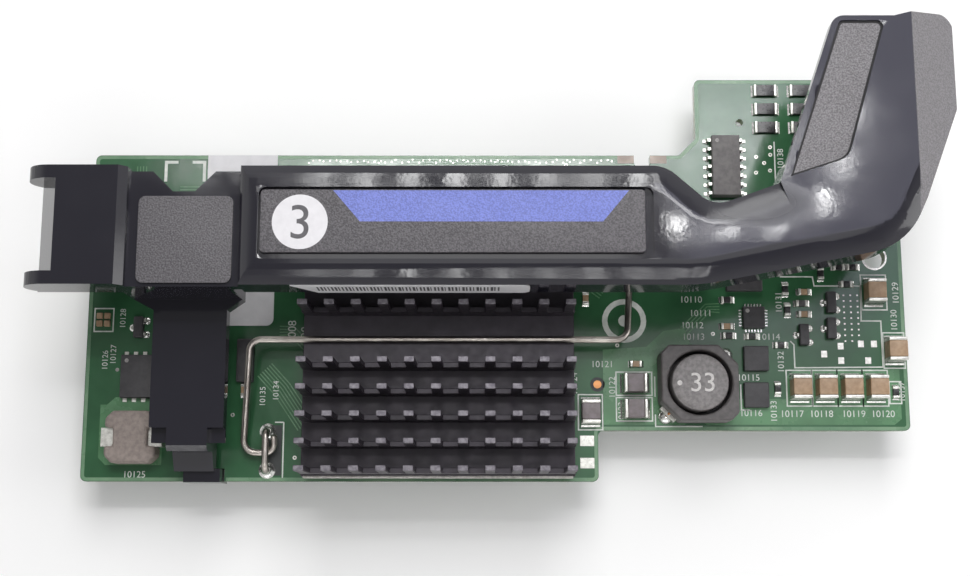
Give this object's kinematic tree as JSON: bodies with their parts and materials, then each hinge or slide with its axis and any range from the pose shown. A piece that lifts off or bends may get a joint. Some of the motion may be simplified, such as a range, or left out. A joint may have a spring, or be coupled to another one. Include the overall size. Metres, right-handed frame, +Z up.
{
  "type": "mezzanine network card",
  "caption": "Mezzanine network card: green circuit board with a pin heat sink under a wire clip, surface-mount parts, a plug-in connector below and a black moulded carrier handle.",
  "frame": {"origin": "centre of the mating face of the connector under the board", "axes": "+X along the card towards the grip end of the handle, +Y from the front edge to the rear, +Z up from the connector through the board to the handle"},
  "size_m": [0.1201, 0.0605, 0.0297],
  "materials": {
    "solder_mask_board": "gloss",
    "connector_plastic": "matte",
    "contact_gold": "polished",
    "mould_compound": "matte",
    "thermal_pad_grey": "matte",
    "black_anodised_aluminium": "satin",
    "spring_steel": "satin",
    "black_gloss_plastic": "gloss",
    "label_film": "matte",
    "white_paper": "matte",
    "tan_ceramic": "satin",
    "grey_ceramic": "satin",
    "tin_plate": "satin",
    "ferrite": "matte",
    "iron_powder": "matte"
  },
  "bodies": {
    "root": {"circuit_board": "solder_mask_board", "connector_housing": "connector_plastic", "connector_contacts": "contact_gold", "controller_chip": "mould_compound", "thermal_pad": "thermal_pad_grey", "heat_sink": "black_anodised_aluminium", "spring_clip": "spring_steel", "clip_anchors": "spring_steel", "carrier_handle": "black_gloss_plastic", "handle_label": "label_film", "strip_label": "white_paper", "board_label": "white_paper", "handle_screws": "spring_steel", "tan_capacitors": "tan_ceramic", "tan_capacitor_ends": "tin_plate", "grey_capacitors": "grey_ceramic", "grey_capacitor_ends": "tin_plate", "chip_resistors": "mould_compound", "chip_capacitors": "tan_ceramic", "ferrite_bead": "ferrite", "small_chip_ends": "tin_plate", "large_resistors": "mould_compound", "large_resistor_ends": "tin_plate", "resistor_array": "tan_ceramic", "logic_chip": "mould_compound", "logic_chip_leads": "tin_plate", "small_transistors": "mould_compound", "small_transistor_leads": "tin_plate", "power_switch": "mould_compound", "power_switch_leads": "tin_plate", "power_transistors": "mould_compound", "driver_chip": "mould_compound", "monitor_chip": "mould_compound", "regulator_chip": "mould_compound", "inductor_shield": "ferrite", "inductor_drum": "ferrite", "inductor_terminals": "tin_plate", "moulded_choke": "iron_powder", "choke_terminals": "tin_plate"}
  },
  "joints": []
}
